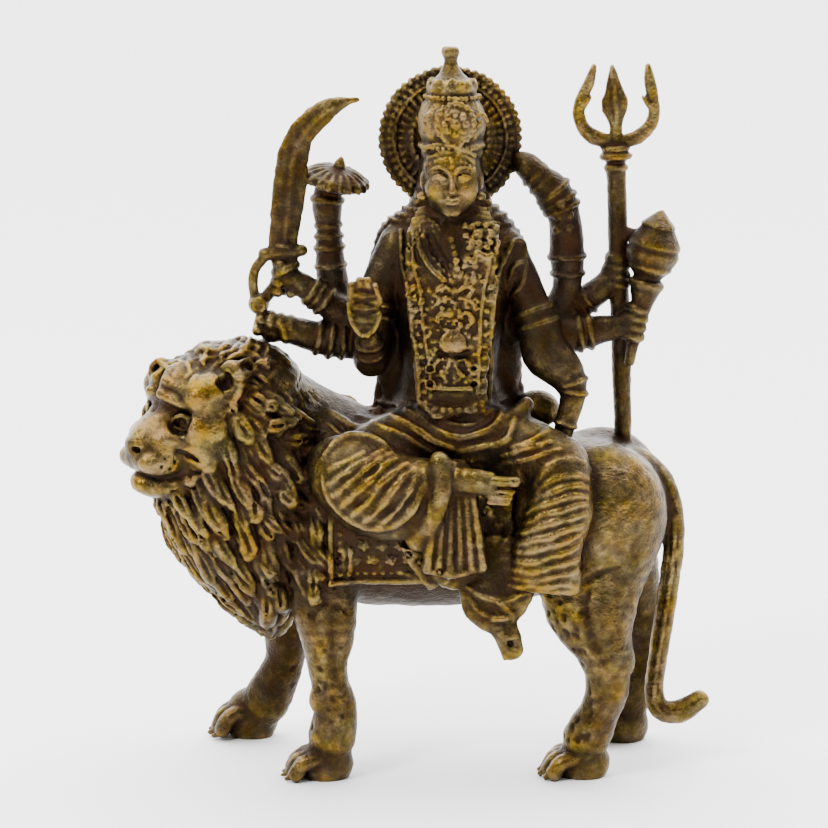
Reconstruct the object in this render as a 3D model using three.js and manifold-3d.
// A small cast brass figure of Durga: the goddess with eight arms sits sideways on a standing lion.
// Lion, goddess and attributes were cast in one piece, which stands on the soles of the four paws.
// Millimetres, +Z up. The front of the figure faces -Y, the lion walks towards -X, and the origin is
// the middle of the footprint box, on the ground.
import * as THREE from "three";
import { mergeVertices } from "three/addons/utils/BufferGeometryUtils.js";
import { LoftGeometry } from "three/addons/geometries/LoftGeometry.js";
import Module from "manifold-3d";

// Driving dimensions. HEIGHT is from the ground to the top of the crown's finial, and the pose and the
// carving are shares of it. The others are sizes that a maker could change by themselves.
const HEIGHT = 73;
const HALO_RADIUS = 7.2;
const HALO_THICKNESS = 1.3;
const SHAFT_RADIUS = 1.1; // trident's staff
const TRIDENT_THICKNESS = 1.25;
const PRONG_SPREAD = 3.75; // from the middle prong to an outer one
const PRONG_HEIGHT = 8.7; // from the collar to the tips
const BLADE_WIDTH = 3.1; // of the sword
const BLADE_THICKNESS = 1.1;
const BLADE_LENGTH = 18.6;
const MACE_RADIUS = 2.75;
const DISC_RADIUS = 3.3;
const TAIL_RADIUS = 1.15;
const CLOTH_THICKNESS = 0.6; // saddle cloth
const HEM_RADIUS = 0.35; // raised borders and piping
const BANGLE_RADIUS = 0.32; // section of the bangles
const BEAD_RADIUS = 0.42; // beaded strands

// One unit of the figure's own scale: positions and body forms are written as on the 73 mm figure.
const UNIT = HEIGHT / 73;
const at = (x, y, z) => new THREE.Vector3(x * UNIT, y * UNIT, z * UNIT);
const DEPTH_AXIS = new THREE.Vector3(0, 1, 0);
const UP_AXIS = new THREE.Vector3(0, 0, 1);

const wasm = await Module();
wasm.setup();

// A closed three.js geometry as a solid that can be joined and cut.
function solid(geometry) {
  const bare = geometry.index ? geometry.toNonIndexed() : geometry.clone();
  bare.deleteAttribute("normal");
  bare.deleteAttribute("uv");
  const merged = mergeVertices(bare, 1e-4);
  return new wasm.Manifold(
    new wasm.Mesh({
      numProp: 3,
      vertProperties: merged.attributes.position.array,
      triVerts: new Uint32Array(merged.index.array),
    }),
  );
}

function geometryOf(made) {
  const mesh = made.getMesh();
  const geometry = new THREE.BufferGeometry();
  geometry.setAttribute("position", new THREE.BufferAttribute(mesh.vertProperties.slice(), 3));
  geometry.setIndex(new THREE.BufferAttribute(mesh.triVerts.slice(), 1));
  return geometry;
}

const joined = (solids) => solids.reduce((whole, next) => whole.add(next));

// A body form lofted along stations [x, y, z, across, deep]: half widths across the picture and in depth.
function limb(stations, { sides = 8, steps = 1, reference = DEPTH_AXIS } = {}) {
  const centres = new THREE.CatmullRomCurve3(stations.map(([x, y, z]) => at(x, y, z)));
  const radii = new THREE.CatmullRomCurve3(
    stations.map(([, , , across, deep = across]) => at(across, deep, 0)),
  );
  const count = (stations.length - 1) * steps;
  const sections = Array.from({ length: count + 1 }, (_, i) => {
    const t = i / count;
    const tangent = centres.getTangent(t).normalize();
    const wide = new THREE.Vector3().crossVectors(tangent, reference).normalize();
    const deep = new THREE.Vector3().crossVectors(wide, tangent).normalize();
    const radius = radii.getPoint(t);
    const centre = centres.getPoint(t);
    return Array.from({ length: sides }, (_, k) => {
      const angle = (k / sides) * 2 * Math.PI;
      return centre
        .clone()
        .addScaledVector(wide, radius.x * Math.cos(angle))
        .addScaledVector(deep, -radius.y * Math.sin(angle));
    });
  });
  const made = solid(new LoftGeometry(sections, { capStart: true, capEnd: true }));
  if (made.volume() > 0) return made;
  return solid(new LoftGeometry(sections.reverse(), { capStart: true, capEnd: true }));
}

// A round cord of one radius in real millimetres through points, for hems, folds and bangles.
const cord = (points, radius, { sides = 3, steps = 1 } = {}) =>
  limb(
    points.map(([x, y, z]) => [x, y, z, radius / UNIT]),
    { sides, steps },
  );

// An egg-shaped mass with half axes along x, y and z, turned about the depth axis by a tilt in degrees.
function mass([x, y, z], [across, deep, high], { tilt = 0, turn = 0, detail = 1 } = {}) {
  const geometry = new THREE.IcosahedronGeometry(1, detail);
  geometry.scale(across * UNIT, deep * UNIT, high * UNIT);
  geometry.rotateY(THREE.MathUtils.degToRad(tilt));
  geometry.rotateZ(THREE.MathUtils.degToRad(turn));
  geometry.translate(x * UNIT, y * UNIT, z * UNIT);
  return solid(geometry);
}

// A turned form: profile points [radius, height] in real millimetres, stood at a place along a direction.
function turned(profile, place, direction = UP_AXIS, segments = 12) {
  const geometry = new THREE.LatheGeometry(
    profile.map(([radius, height]) => new THREE.Vector2(radius, height)),
    segments,
  );
  geometry.applyQuaternion(
    new THREE.Quaternion().setFromUnitVectors(new THREE.Vector3(0, 1, 0), direction.clone().normalize()),
  );
  geometry.translate(place.x, place.y, place.z);
  return solid(geometry);
}

// A flat form of an outline [x, z] in real millimetres, with its thickness centred in depth.
function plate(outline, thickness, place, bevel = 0) {
  const shape = new THREE.Shape(outline.map(([x, z]) => new THREE.Vector2(x, z)));
  const geometry = new THREE.ExtrudeGeometry(shape, {
    depth: thickness - 2 * bevel,
    bevelEnabled: bevel > 0,
    bevelThickness: bevel,
    bevelSize: bevel,
    bevelOffset: -bevel,
    bevelSegments: 1,
  });
  geometry.translate(0, 0, -thickness / 2 + bevel);
  geometry.rotateX(Math.PI / 2);
  geometry.translate(place.x, place.y, place.z);
  return solid(geometry);
}

function block(low, high) {
  const size = high.clone().sub(low);
  const geometry = new THREE.BoxGeometry(size.x, size.y, size.z);
  const middle = low.clone().add(high).multiplyScalar(0.5);
  geometry.translate(middle.x, middle.y, middle.z);
  return solid(geometry);
}

// The station at a share of a chain; shares are counted in stations, so that 1.5 is halfway from 1 to 2.
function between(stations, share) {
  const i = Math.min(Math.floor(share), stations.length - 2);
  return stations[i].map((value, k) => THREE.MathUtils.lerp(value, stations[i + 1][k], share - i));
}

// Bangles are swellings of a limb: around each share of the chain, three stations are put in.
function withBangles(stations, shares) {
  const rings = shares.flatMap((share) => {
    const i = Math.min(Math.floor(share), stations.length - 2);
    const half = (1.4 * BANGLE_RADIUS) / at(...stations[i]).distanceTo(at(...stations[i + 1]));
    return [share - half, share, share + half].map((place, k) => {
      const [x, y, z, radius] = between(stations, place);
      return { place, station: [x, y, z, radius + (k === 1 ? (1.3 * BANGLE_RADIUS) / UNIT : 0)] };
    });
  });
  return [...stations.map((station, place) => ({ place, station })), ...rings]
    .sort((one, two) => one.place - two.place)
    .map(({ station }) => station);
}

// Cloth in folds across a limb: its chain in equal steps, every second one swollen by the folds' height.
const withFolds = (stations, folds, height) =>
  Array.from({ length: 2 * folds + 1 }, (_, k) => {
    const [x, y, z, across, deep] = between(stations, (k / (2 * folds)) * (stations.length - 1));
    return [x, y, z, across + (k % 2) * height, deep + (k % 2) * height];
  });


// The lion

const BODY = [
  [-15, 0.8, 28.8, 9.8, 7.6],
  [-7, 0.8, 26.6, 9.9, 7.9],
  [0, 0.8, 25.2, 8.9, 7.6],
  [8, 0.8, 25.1, 8.5, 7.4],
  [15, 0.8, 26.1, 7.9, 7.7],
  [20, 0.8, 26.8, 6.9, 7.2],
  [24, 0.6, 26.9, 4.7, 5],
  [25.7, 0.4, 27.1, 2.1, 2.2],
];

// Half widths of the trunk grow by an allowance for what lies on it.
const trunk = (allowance) =>
  limb(
    BODY.map(([x, y, z, high, deep]) => [x, y, z, high + allowance, deep + allowance]),
    { sides: 11 },
  );

// A paw below its ankle [x, y], of [length, half width, height]: slices in depth, of which every second one
// stands forward and up as a toe. All soles are cut flat together.
const TOES = 4;

function paw([x, y], [long, wide, high]) {
  const sections = Array.from({ length: 2 * TOES + 1 }, (_, k) => {
    const side = k / TOES - 1;
    const round = Math.sqrt(1 - 0.72 * side * side);
    const toe = k % 2;
    const profile = [
      [0.24 * round, -0.1],
      [0.4 * round * round, 0.42 * round],
      [-0.16 * round, round],
      [-(0.5 + 0.09 * toe) * round, (0.5 + 0.1 * toe) * round],
      [-(0.56 + 0.1 * toe) * round, 0.18],
      [-(0.46 + 0.1 * toe) * round, -0.1],
    ];
    return profile.map(([along, up]) => at(x + along * long, y - side * wide, up * high));
  });
  return solid(new LoftGeometry(sections, { capStart: true, capEnd: true }));
}

const LEGS = {
  nearFront: [
    [-10.5, -3.6, 25, 4.6, 3.4],
    [-9.3, -4.8, 19.7, 3.7, 2.8],
    [-8.8, -5.4, 16.5, 3.2, 2.5],
    [-8.8, -5.5, 13.5, 2.35, 2.2],
    [-8.5, -5.5, 9.8, 1.95, 2],
    [-7.9, -5.5, 7.7, 2.15, 2],
    [-8.3, -5.5, 4.4, 2.5, 2.1],
    [-8.5, -5.3, 2.6, 1.6, 1.3],
  ],
  farFront: [
    [-13, 5, 25, 4.8, 3.6],
    [-13.2, 6.4, 18, 3.6, 2.8],
    [-13.3, 7.2, 12.5, 2.7, 2.3],
    [-13.5, 7.4, 9, 2.15, 2],
    [-14.3, 7.4, 6.6, 2.3, 2],
    [-15.5, 7.4, 4.1, 2.6, 2.1],
    [-16.2, 7.6, 2.6, 1.6, 1.3],
  ],
  nearHind: [
    [17.6, -2.6, 27.5, 6.6, 4.3],
    [17.7, -3.7, 22.5, 5.9, 3.5],
    [17.5, -4.9, 18, 4.8, 2.9],
    [18.5, -5.3, 14.5, 3.3, 2.5],
    [19.2, -5.5, 11.6, 2.5, 2.2],
    [19.2, -5.5, 9.2, 2.25, 2],
    [18.4, -5.4, 6.8, 2.1, 2],
    [17.3, -5.2, 4.3, 2.5, 2],
    [16.8, -5, 2.6, 1.6, 1.3],
  ],
  farHind: [
    [18.5, 4.2, 27.5, 6.6, 4.3],
    [19.6, 5.5, 22, 5.6, 3.5],
    [21.4, 7, 17.5, 4.1, 2.8],
    [23, 7.4, 13, 2.9, 2.3],
    [23.9, 7.4, 9.6, 2.3, 2],
    [23.3, 7.4, 6.6, 2.1, 2],
    [22.2, 7.4, 4.1, 2.4, 2.1],
    [21.7, 7.6, 2.6, 1.6, 1.3],
  ],
};

const PAWS = [
  [[-9.1, -5], [6.6, 2.3, 4.1]],
  [[-17.3, 8.4], [6.6, 2.3, 5.4]],
  [[16.8, -4.5], [6.6, 2.3, 4]],
  [[21.6, 7.3], [6.6, 2.4, 4.3]],
];

const lionLegs = () =>
  joined([
    ...Object.values(LEGS).map((stations) => limb(stations, { sides: 6 })),
    ...PAWS.map(([place, size]) => paw(place, size)),
  ]);

const TAIL = [
  [22.6, 0.4, 31.2],
  [24.9, 0.2, 29.2],
  [26, -0.1, 26],
  [26, -0.3, 21.5],
  [25.3, -0.6, 16],
  [24.6, -0.9, 11],
  [24.3, -1.2, 7.8],
  [24.9, -1.3, 5.9],
  [26.8, -1.3, 5.6],
  [29.1, -1.3, 7],
];

const lionTail = () => cord(TAIL, TAIL_RADIUS, { sides: 5 });

// The head is built facing along +X and turned so that the muzzle looks left and partly to the front.
const HEAD_PLACE = [-20.2, -1.9, 38];
const HEAD_TURN = 180 + 36;

// The muzzle in slices along the head, of [reach, half width, bridge, middle, lip]: a narrow bridge above
// two round pads, with the cleft of the lip between them.
function muzzle() {
  const slices = [
    [2.4, 3.4, 1.6, -2, -5],
    [5.2, 2.7, 0.2, -3, -6.4],
    [7.6, 3.1, -1.9, -4.2, -6.5],
    [9.1, 2, -2.9, -4.2, -5.9],
  ];
  const sections = slices.map(([reach, half, bridge, middle, lip]) => {
    const right = [
      [0.42 * half, bridge],
      [0.68 * half, (bridge + middle) / 2],
      [half, (middle + lip) / 2 + 0.5],
      [0.62 * half, lip],
    ];
    const left = right.map(([y, z]) => [-y, z]).reverse();
    return [...right, [0, lip + 0.7], ...left].map(([y, z]) => at(reach, y, z));
  });
  return solid(new LoftGeometry(sections.reverse(), { capStart: true, capEnd: true }));
}

function lionHead() {
  const both = (make) => [make(-1), make(1)];
  const parts = [
    mass([0.4, 0, 0.2], [5.9, 5.4, 5.4]),
    muzzle(),
    mass([8.6, 0, -3.3], [1, 1.5, 1], { detail: 0 }),
    limb([[3, 0, -7.6, 2.2, 2.4], [6.2, 0, -7.9, 1.6, 2.4], [8.6, 0, -7.6, 0.9, 1.6]], { sides: 6 }),
    ...both((side) => mass([2.8, side * 3.5, -2.9], [2.9, 2, 2.8], { detail: 0 })),
    ...both((side) => mass([3.4, side * 4, 0.9], [2, 2, 1.6], { detail: 0 })),
    ...both((side) =>
      limb([[0, side * 4, 0.6, 1.9, 1.7], [1.2, side * 5.8, 2, 2.6, 1.7], [1.7, side * 6.9, 4, 1.5, 1]], {
        sides: 5,
      }),
    ),
  ];
  const hollows = [
    ...both((side) => mass([3.2, side * 6.2, 2.6], [1, 1, 1.4], { detail: 0 })),
    limb([[9.9, 0, -6.6, 0.3, 3], [6, 0, -6.75, 0.28, 3.6], [3.9, 0, -6.3, 0.2, 3.4]], { sides: 4 }),
  ];
  const head = hollows.reduce((whole, hollow) => whole.subtract(hollow), joined(parts));
  const geometry = geometryOf(head);
  geometry.rotateZ(THREE.MathUtils.degToRad(HEAD_TURN));
  geometry.translate(...at(...HEAD_PLACE).toArray());
  return solid(geometry);
}

// The mane in level slices from its lowest point to the crown of the head: place, half length, half depth.
const MANE = [
  [-14.6, -0.6, 13.6, 0.5, 0.6],
  [-15, -0.6, 16, 2.6, 3.2],
  [-15.8, -0.5, 18.8, 4.5, 5.2],
  [-16.6, -0.4, 21.6, 6.4, 6.6],
  [-17.1, -0.4, 24.6, 7.7, 7.6],
  [-17.4, -0.4, 28, 8.7, 8],
  [-17.2, -0.4, 31.6, 8.5, 8],
  [-17, -0.6, 35.2, 7.8, 7.4],
  [-17.6, -1.2, 38.4, 7, 6.4],
  [-18.8, -1.8, 41, 5.6, 5],
  [-19.6, -2.2, 43, 4, 3.4],
  [-19.8, -2.4, 44.2, 1.8, 1.6],
];
const MANE_COLUMNS = 9;
const LOCK_HEIGHT = 0.85; // how far the locks stand out of the mane

// The locks lie in staggered rows: the crests of one row stand over the hollows of the next.
function ruff() {
  const sides = 2 * MANE_COLUMNS;
  const sections = MANE.map(([x, y, z, long, deep], row) =>
    Array.from({ length: sides }, (_, k) => {
      const angle = ((k + 0.25 * row) / sides) * 2 * Math.PI;
      const crest = (k + row) % 2 && row > 0 ? LOCK_HEIGHT : -0.3 * LOCK_HEIGHT;
      const reach = Math.min(1, long / 4);
      return at(
        x + (long + crest * reach) * Math.cos(angle),
        y + (deep + crest * reach) * Math.sin(angle),
        z - (k % 2 ? 0.6 : 0) * reach,
      );
    }),
  );
  return solid(new LoftGeometry(sections, { capStart: true, capEnd: true }));
}

function lionMane() {
  const withers = limb(
    [[-17, 0.6, 35.6, 6.5, 5], [-13.2, 1, 34.2, 6.2, 5.6], [-9, 1.4, 32.4, 5.9, 6], [-5, 1, 30.9, 5.2, 6]],
    { sides: 6 },
  );
  return joined([ruff(), withers]);
}

// The embossed cloth lies on the trunk and hangs to one level on both sides.
const CLOTH = { left: -8.6, right: 9.5, bottom: 20.4, top: 40 };

function saddleCloth() {
  const flank = CLOTH.right; // the cloth reaches round both flanks
  const span = block(at(CLOTH.left, -flank, CLOTH.bottom), at(CLOTH.right, flank, CLOTH.top));
  const hem = cord(
    [
      [CLOTH.left + 0.2, -7.6, 27],
      [CLOTH.left + 0.2, -6.8, CLOTH.bottom + 0.4],
      [CLOTH.right, -6.3, CLOTH.bottom + 0.3],
    ],
    HEM_RADIUS,
  );
  return joined([trunk(CLOTH_THICKNESS / UNIT).intersect(span), hem]);
}

// The goddess

function trunkAndHead() {
  const body = limb(
    [
      [3.5, 0, 32.5, 7.4, 5.4],
      [3.5, 0, 36.5, 6.4, 4.6],
      [3.5, -0.4, 40.5, 4.9, 3.7],
      [3.5, -0.6, 45.5, 5.3, 3.9],
      [3.5, -0.5, 50.5, 6.3, 4.1],
      [3.6, -0.1, 54.3, 5.4, 3.2],
      [3.6, 0, 56.8, 2.4, 2.2],
      [3.6, -0.6, 59, 2.1, 2.1],
    ],
    { sides: 7 },
  );
  const head = mass([3.6, -1.7, 60.4], [2.95, 3, 4], { detail: 2 });
  const nose = limb(
    [[3.6, -4.5, 61.3, 0.3, 0.3], [3.6, -4.95, 60, 0.45, 0.42], [3.6, -4.8, 59.5, 0.4, 0.3]],
    { sides: 4 },
  );
  const eyes = [-1, 1].map((side) => mass([3.6 + side * 1.25, -4.15, 60.8], [0.72, 0.4, 0.3], { detail: 0 }));
  const lips = mass([3.6, -4.35, 58.3], [0.85, 0.5, 0.32], { detail: 0 });
  return joined([body, head, nose, ...eyes, lips]);
}

// The cloak of hair and veil behind her, from the crown to the hips.
const cloak = () =>
  limb(
    [
      [3.6, 1.4, 34.5, 8.8, 3.6],
      [3.4, 1.6, 38, 7.7, 2.9],
      [3.4, 1.6, 42, 7.5, 2.5],
      [3.5, 1.6, 46, 7.8, 2.4],
      [3.4, 1.4, 50, 8.4, 2.5],
      [3.4, 1.2, 53, 7.7, 2.6],
      [3.5, 1, 55.4, 6.5, 2.6],
      [3.5, 1, 57.4, 4.6, 2.7],
      [3.6, 0.8, 63.5, 3.4, 2.9],
    ],
    { sides: 10 },
  );

function crown() {
  const dome = turned(
    [
      [0, -3.6],
      [3.2, -3.3],
      [3.75, -2.8],
      [3.45, -1.9],
      [3.4, 0.6],
      [2.6, 2.5],
      [2.25, 3.4],
      [1.6, 4.1],
      [0.6, 5.8],
      [0.95, 6.35],
      [0.7, 6.9],
      [0, 7],
    ].map(([radius, height]) => [radius * UNIT, height * UNIT]),
    at(3.5, -0.9, 66),
    UP_AXIS,
    10,
  );
  const jewel = mass([3.5, -4.35, 66], [0.9, 0.6, 1.4], { detail: 0 });
  return joined([dome, jewel]);
}

const HALO_PLACE = at(3.5, 2.6, 63.7);
const HALO_LOBES = 32;

// The halo is a disc with a lobed rim that stands out to the front.
function halo() {
  const face = HALO_THICKNESS / 2;
  const rim = HALO_RADIUS;
  const geometry = new THREE.LatheGeometry(
    [
      [0, -face],
      [rim, face * 0.3],
      [rim * 0.86, face],
      [0, face * 0.4],
    ].map(([radius, height]) => new THREE.Vector2(radius, height)),
    HALO_LOBES * 2,
  );
  const place = geometry.attributes.position;
  for (let i = 0; i < place.count; i++) {
    const radius = Math.hypot(place.getX(i), place.getZ(i));
    const turn = Math.round((Math.atan2(place.getX(i), place.getZ(i)) / Math.PI) * HALO_LOBES);
    if (radius > rim * 0.95 && turn % 2) {
      place.setX(i, place.getX(i) * 0.955);
      place.setZ(i, place.getZ(i) * 0.955);
    }
  }
  geometry.rotateX(Math.PI);
  geometry.translate(...HALO_PLACE.toArray());
  return solid(geometry);
}

// Arms: each is a chain of stations from inside the cloak to the wrist, and its hand grips or rests.
const ARMS = {
  sword: [
    [-4, 1.2, 46, 1.7],
    [-7, 0.6, 46.4, 1.7],
    [-9.4, 0.2, 48.1, 1.5],
    [-12, 0, 50, 1.1],
  ],
  disc: [
    [-6, 2, 45.6, 1.6],
    [-7.7, 2, 46.8, 1.8],
    [-8.2, 2, 49.4, 1.7],
    [-8.5, 2, 52.6, 1.45],
    [-8.6, 2, 55, 1.3],
    [-8.7, 2, 56.6, 1.6],
    [-8.6, 2, 58.4, 1.5],
  ],
  staff: [
    [-3.6, 1, 43.7, 2.3],
    [-6, 0.6, 43.6, 2],
    [-9, 0.2, 43.9, 1.75],
    [-13, 0, 45, 1.4],
  ],
  blessing: [
    [-1.7, -0.2, 53.2, 2.2],
    [-3.4, -1, 49.6, 2],
    [-4.2, -1.6, 45.6, 2],
    [-4.3, -2, 42.4, 2],
    [-4.4, -3.4, 43.2, 1.5],
    [-4.6, -4.8, 45.4, 1.15],
  ],
  conch: [
    [13.4, 1.8, 45.4, 1.9],
    [15.1, 2, 48.4, 1.5],
    [15.1, 2, 52.4, 1.85],
    [14.9, 2, 55.6, 1.75],
    [14.2, 2, 57.6, 1.9],
    [13.2, 2, 59, 1.8],
  ],
  trident: [
    [12.6, 2, 45.6, 1.7],
    [14.8, 2.2, 45.8, 1.6],
    [16.8, 2.6, 47.2, 1.6],
    [19.4, 2.6, 49.2, 1.3],
  ],
  mace: [
    [10.5, 1, 45.8, 1.9],
    [13.2, 0.4, 44.4, 2.3],
    [16.2, 0.6, 44.4, 1.9],
    [20.6, 0.8, 45.1, 1.2],
  ],
  lowered: [
    [8.8, 0, 53, 2.2],
    [10.8, -0.7, 49.2, 2],
    [12.2, -1.4, 45.6, 2.2],
    [12.8, -1.8, 43, 2.5],
    [14.3, -2.2, 41.6, 2.3],
    [15.6, -2.6, 39.8, 1.5],
    [15.4, -2.9, 37.8, 1.3],
    [14.8, -3.2, 35.6, 1.1],
    [14.5, -3.4, 34, 0.8],
  ],
};

// A hand closed round a shaft: four fingers, one above another along the shaft's direction.
function fist(place, direction, radius) {
  const fingers = Array.from({ length: 4 }, (_, k) => [
    [radius * 0.82, (k - 2) * 0.74 * radius],
    [radius, (k - 1.5) * 0.74 * radius],
  ]).flat();
  const end = 1.7 * radius;
  return turned(
    [[0, -end], ...fingers, [radius * 0.82, end * 0.87], [0, end]].map(([r, h]) => [r * UNIT, h * UNIT]),
    at(...place),
    at(...direction),
    5,
  );
}

function openHand() {
  const palm = mass([-4.7, -5.3, 46.9], [1.6, 0.9, 2.2], { detail: 0 });
  const fingers = [-1.15, -0.4, 0.36, 1.1].map((shift, k) =>
    limb(
      [
        [-4.7 + shift * 0.8, -5.3, 47.6, 0.55],
        [-4.85 + shift * 1.05, -5.5, 50.5 + [0, 0.5, 0.45, 0][k], 0.4],
      ],
      { sides: 4 },
    ),
  );
  const thumb = limb([[-3.6, -5.4, 45.8, 0.55], [-3.1, -6, 48.2, 0.38]], { sides: 4 });
  return joined([palm, ...fingers, thumb]);
}

// Where the bangles sit along each arm, in stations.
const BANGLES = {
  sword: [2.4],
  disc: [3.3],
  staff: [2.5],
  blessing: [0.8],
  conch: [2.5],
  trident: [2.5],
  mace: [2.5],
  lowered: [0.9, 4.8],
};

const arms = () =>
  joined([
    ...Object.keys(ARMS).map((name) => limb(withBangles(ARMS[name], BANGLES[name]), { sides: 5 })),
    openHand(),
    fist([-13, 0, 50.1], [0.1, 0, 1], 1.45),
    fist([-14, 0, 45.3], [1, 0, -0.25], 1.6),
    fist([20.3, 2.6, 50.4], [-0.03, 0, 1], 1.4),
    fist([21.9, 0.9, 45.5], [0.2, 0, 1], 1.45),
  ]);

// The attributes in her hands

const SWORD_GUARD = at(-13.1, 0, 52.6);

// The blade's centre line is straight and then swings to the tip, and its width falls along the swing.
function sword() {
  const straight = 0.42;
  const swing = THREE.MathUtils.degToRad(84);
  const lean = 0.11;
  const bend = (BLADE_LENGTH * (1 - straight)) / swing;
  const blade = limb(
    Array.from({ length: 8 }, (_, k) => {
      const t = k / 7;
      const along = Math.min(t, straight) * BLADE_LENGTH;
      const share = Math.max(0, (t - straight) / (1 - straight));
      const angle = share * swing;
      const place = new THREE.Vector3(
        along * lean + bend * (1 - Math.cos(angle)),
        0,
        along + bend * Math.sin(angle),
      ).add(SWORD_GUARD);
      const taper = Math.max(0.18, 1 - Math.pow(share, 2.6));
      const half = (BLADE_WIDTH / 2) * taper;
      const deep = (BLADE_THICKNESS / 2) * Math.sqrt(taper);
      return [...place.divideScalar(UNIT).toArray(), half / UNIT, deep / UNIT];
    }),
    { sides: 4 },
  );
  const guard = cord([[-14.9, 0, 52.5], [-11.2, 0, 52.8]], 0.8, { sides: 5 });
  const grip = cord([[-13.1, 0, 52.6], [-13.4, 0, 50], [-14.8, 0, 48.2], [-15.6, 0, 47.4]], 0.7);
  const bow = cord([[-14.7, 0, 52.3], [-15.9, 0, 50.8], [-16, 0, 48.8], [-15.6, 0, 47.2]], 0.65);
  const pommel = mass([-15.5, -0.2, 47.5], [1.1, 1, 1.1], { detail: 0 });
  return joined([blade, guard, grip, bow, pommel]);
}

function ribbedDisc() {
  const high = DISC_RADIUS * 0.5;
  return turned(
    [
      [0, -high * 0.9],
      [1, -high * 0.7],
      [DISC_RADIUS, -high * 0.1],
      [DISC_RADIUS * 0.92, high * 0.4],
      [DISC_RADIUS * 0.42, high * 0.75],
      [0.5, high],
      [0.35, high * 1.45],
      [0, high * 1.6],
    ],
    at(-7.8, 1.8, 59.5),
    at(0.22, -0.2, 1),
    10,
  );
}

// The trident's head: a leaf-shaped middle prong, and an outer prong on each side that springs from the
// collar, rises with a barb on its inner side and ends in a point.
function tridentHead(collar) {
  const flat = (points) =>
    limb(
      points.map(([x, z, half]) => [
        (collar.x + x) / UNIT,
        collar.y / UNIT,
        (collar.z + z) / UNIT,
        half,
        TRIDENT_THICKNESS / 2 / UNIT,
      ]),
      { sides: 4 },
    );
  const [spread, top] = [PRONG_SPREAD, PRONG_HEIGHT];
  const middle = flat([
    [0, 0, 1],
    [0, top * 0.28, 0.75],
    [-0.1, top * 0.52, 1.4],
    [-0.3, top * 0.75, 0.95],
    [-0.5, top * 0.97, 0.35],
  ]);
  const outer = [-1, 1].flatMap((side) => [
    flat([
      [0, 0.9, 1],
      [side * spread * 0.58, 1.4, 1.1],
      [side * spread * 0.92, 2.8, 0.9],
      [side * spread * 0.99, 4.6, 0.7],
      [side * spread * (0.81 + 0.07 * side), 6.6, 0.7],
      [side * spread * (0.71 + 0.11 * side), top - 0.2, 0.5],
    ]),
    flat([
      [side * spread * 0.95, 4.9, 0.6],
      [side * spread - 0.95, 5.2, 0.2],
    ]),
  ]);
  return joined([middle, ...outer]);
}

function trident() {
  const collar = at(19.9, 2.9, 62.4);
  const foot = at(21.1, 2.2, 31.5);
  const along = collar.clone().sub(foot);
  const reach = along.length();
  const staff = turned(
    [
      [0, 0],
      [SHAFT_RADIUS * 0.8, 0],
      [SHAFT_RADIUS, reach * 0.55],
      [SHAFT_RADIUS, reach - 1.4],
      [SHAFT_RADIUS * 1.6, reach - 0.6],
      [SHAFT_RADIUS * 1.6, reach],
      [0, reach + 0.6],
    ],
    foot,
    along,
    6,
  );
  return joined([staff, tridentHead(collar)]);
}

function mace() {
  const foot = at(21.3, 0.8, 41);
  const along = at(3.1, 0.2, 15.4);
  const r = MACE_RADIUS;
  return turned(
    [
      [0, 0],
      [0.5, 0.2],
      [0.75, 4.6],
      [1.45, 7.9],
      [r * 0.68, 8.7],
      [r * 0.52, 9.2],
      [r * 0.82, 10],
      [r, 11.6],
      [r * 0.98, 12.8],
      [r * 0.62, 14.4],
      [r * 0.32, 15.5],
      [0, 16.2],
    ],
    foot,
    along,
    10,
  );
}

const conch = () =>
  limb(
    [
      [14, 1.9, 57.8, 1.7],
      [12.4, 1.9, 59.7, 1.55],
      [11.1, 1.9, 61, 1.4],
      [10.3, 1.9, 61.8, 0.8],
    ],
    { sides: 6 },
  );

// Her seat, legs and drapery

function foldedLeg() {
  const thigh = limb(
    [[2.5, -2, 35, 3.8, 3.4], [-2.5, -5, 33.6, 3.8, 3.3], [-6, -6.6, 32.4, 3.2, 3]],
    { sides: 5 },
  );
  const knee = limb(
    withFolds(
      [
        [-8.3, -6.9, 33.2, 1.8, 1.4],
        [-7.2, -7.2, 32.3, 3.5, 2.7],
        [-5.2, -7.5, 31.1, 4.5, 3.5],
        [-2.8, -7.9, 30, 4.5, 3.3],
        [-0.4, -8.4, 29.6, 3.6, 2.6],
        [1.6, -8.8, 29.6, 2.2, 1.6],
      ],
      4,
      0.45,
    ),
    { sides: 8 },
  );
  const shin = limb(
    [[-2, -8.6, 31, 2.8, 2], [1, -9.3, 31.4, 2.6, 1.8], [3.4, -9.7, 31.9, 2, 1.4]],
    { sides: 6 },
  );
  const foot = limb(
    [
      [2.6, -10, 32, 1.4, 1],
      [5.6, -10.4, 32, 1.5, 1],
      [8.8, -10.5, 31.8, 1.5, 1],
      [10.2, -10.5, 31.9, 0.9, 0.6],
    ],
    { sides: 5 },
  );
  return joined([thigh, knee, shin, foot]);
}

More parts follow.
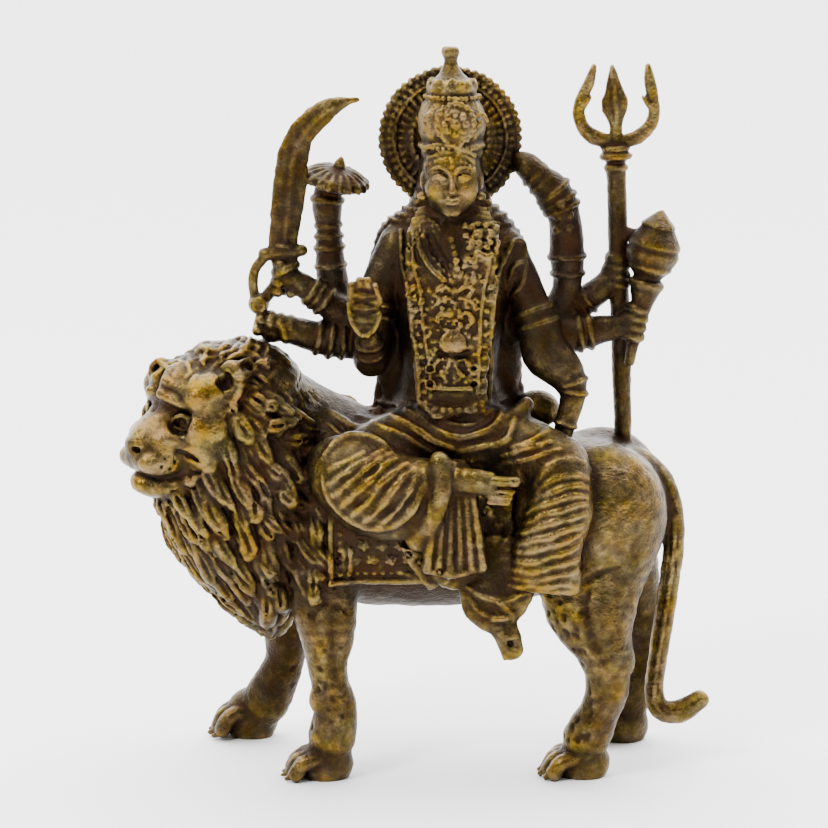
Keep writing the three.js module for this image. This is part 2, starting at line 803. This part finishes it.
function hangingLeg() {
  const thigh = limb(
    withFolds([[5, -2, 35, 3.4, 3.2], [10, -5, 34, 3.5, 3], [14, -7, 32.4, 3.4, 2.8]], 3, 0.4),
    { sides: 6 },
  );
  const calf = limb(
    withFolds(
      [
        [14.3, -7.4, 32, 2.9, 2.6],
        [14.1, -8.4, 28.6, 3.3, 2.5],
        [13.1, -9, 25, 3.2, 2.2],
        [12.6, -9.2, 21, 3.7, 1.9],
      ],
      5,
      0.45,
    ),
    { sides: 8 },
  );
  const ankle = limb(
    [[8.3, -8.6, 22, 4.2, 1.5], [7.8, -9.2, 20, 3.6, 1.5], [8, -9.8, 17.8, 1.6, 1.1]],
    { sides: 6 },
  );
  const foot = limb(
    [
      [8.2, -9.7, 18.2, 1.2, 1.1],
      [8.3, -9.8, 17.7, 1.7, 1.5],
      [8.5, -9.9, 17.2, 1.2, 1.1],
      [8.9, -10.2, 16, 1.6, 1.1],
      [9.5, -10.6, 14.2, 1.3, 0.9],
    ],
    { sides: 6 },
  );
  return joined([thigh, calf, ankle, foot]);
}

// The pleated end of the sash: its section is a row of sharp folds, and it spreads towards its hem.
const PLEATS = 5;

function pleats() {
  const section = (middle, y, z, half) => {
    const front = Array.from({ length: 2 * PLEATS + 1 }, (_, k) =>
      at(middle + half * (k / PLEATS - 1), y - (k % 2) * 0.8, z),
    );
    return [...front, at(middle + half, y + 1.6, z), at(middle - half, y + 1.6, z)];
  };
  const sections = [
    section(3.9, -9.9, 23.2, 2.9),
    section(3.9, -9.9, 27.6, 2.4),
    section(3.8, -9.4, 31.8, 1.9),
  ];
  return solid(new LoftGeometry(sections, { capStart: true, capEnd: true }));
}

function sash() {
  const overShin = limb(
    [
      [2.4, -10.2, 33.8, 1, 0.8],
      [2.7, -11.2, 31.2, 0.9, 0.8],
      [1.6, -10.8, 28, 1, 0.8],
      [0.4, -9.9, 25.6, 1.3, 0.6],
    ],
    { sides: 4 },
  );
  const corner = plate(
    [[-1.9, 3.6], [2.9, 2.4], [1.9, -0.5], [1, -0.9], [-1, 1.6]],
    2 * CLOTH_THICKNESS,
    at(0.4, -8.6, 21.4),
  );
  const hip = cord(
    [[-4.6, -3.4, 36.9], [-1, -5.6, 36], [3.6, -7.2, 33.9], [8, -6.6, 34.9], [11.3, -3.4, 37.8]],
    HEM_RADIUS * 1.6,
  );
  const roll = limb([[4.6, -6.2, 34.9, 0.7], [8.2, -5.8, 36, 0.95], [11, -3.6, 38, 0.9]], { sides: 5 });
  const lap = mass([3.5, -2.4, 34.2], [9.8, 4.8, 3.5]);
  const knot = mass([12.2, 0, 36.8], [2.4, 2, 2], { detail: 0 });
  return joined([lap, overShin, corner, hip, roll, knot]);
}

// The embroidered front: a panel that narrows to the belt, its borders, necklaces and a medallion.
function frontPanel() {
  const panel = limb(
    [
      [3.6, -3.6, 54.6, 4.9, 0.9],
      [3.6, -4.3, 51, 4.7, 0.9],
      [3.6, -4.5, 46, 4.1, 0.9],
      [3.6, -4.3, 41, 3.6, 0.9],
      [3.7, -4.9, 37.8, 3.4, 0.9],
    ],
    { sides: 6 },
  );
  const borders = [-1, 1].map((side) =>
    cord(
      [[3.6 + side * 4.6, -4.2, 54.2], [3.6 + side * 3.9, -4.9, 46], [3.6 + side * 3.1, -5.3, 37.9]],
      HEM_RADIUS * 1.2,
    ),
  );
  const necklace = cord(
    [[0.5, -4.7, 53.2], [1.9, -5.2, 50.6], [3.6, -5.5, 49.2], [5.3, -5.2, 50.6], [6.7, -4.7, 53.2]],
    BEAD_RADIUS,
  );
  const facing = at(0, -1, 0);
  const medallion = turned([[0, 0], [1.25, 0], [1.1, 0.5], [0, 0.8]], at(3.5, -5.2, 44.8), facing, 7);
  const belt = cord([[0.2, -4.6, 40], [3.6, -5.8, 39.6], [7, -4.6, 40]], HEM_RADIUS * 1.3);
  return joined([panel, ...borders, necklace, medallion, belt]);
}

// The whole casting, with the four soles cut flat at the ground.
function figure() {
  const whole = joined([
    trunk(0),
    lionLegs(),
    lionTail(),
    lionMane(),
    lionHead(),
    saddleCloth(),
    cloak(),
    trunkAndHead(),
    crown(),
    halo(),
    arms(),
    sword(),
    ribbedDisc(),
    trident(),
    mace(),
    conch(),
    foldedLeg(),
    hangingLeg(),
    pleats(),
    sash(),
    frontPanel(),
  ]);
  const far = HEIGHT * 2;
  return whole.intersect(block(new THREE.Vector3(-far, -far, 0), new THREE.Vector3(far, far, far)));
}

const geometry = geometryOf(figure());
geometry.computeBoundingBox();
const middle = geometry.boundingBox.getCenter(new THREE.Vector3());
geometry.translate(-middle.x, -middle.y, -geometry.boundingBox.min.z);

const brass = new THREE.MeshStandardMaterial({ color: 0x9a7b3c, roughness: 0.42, metalness: 0.9 });
const casting = new THREE.Mesh(geometry, brass);
casting.name = "durga_on_lion";

const part = new THREE.Group();
part.add(casting);

export default part;
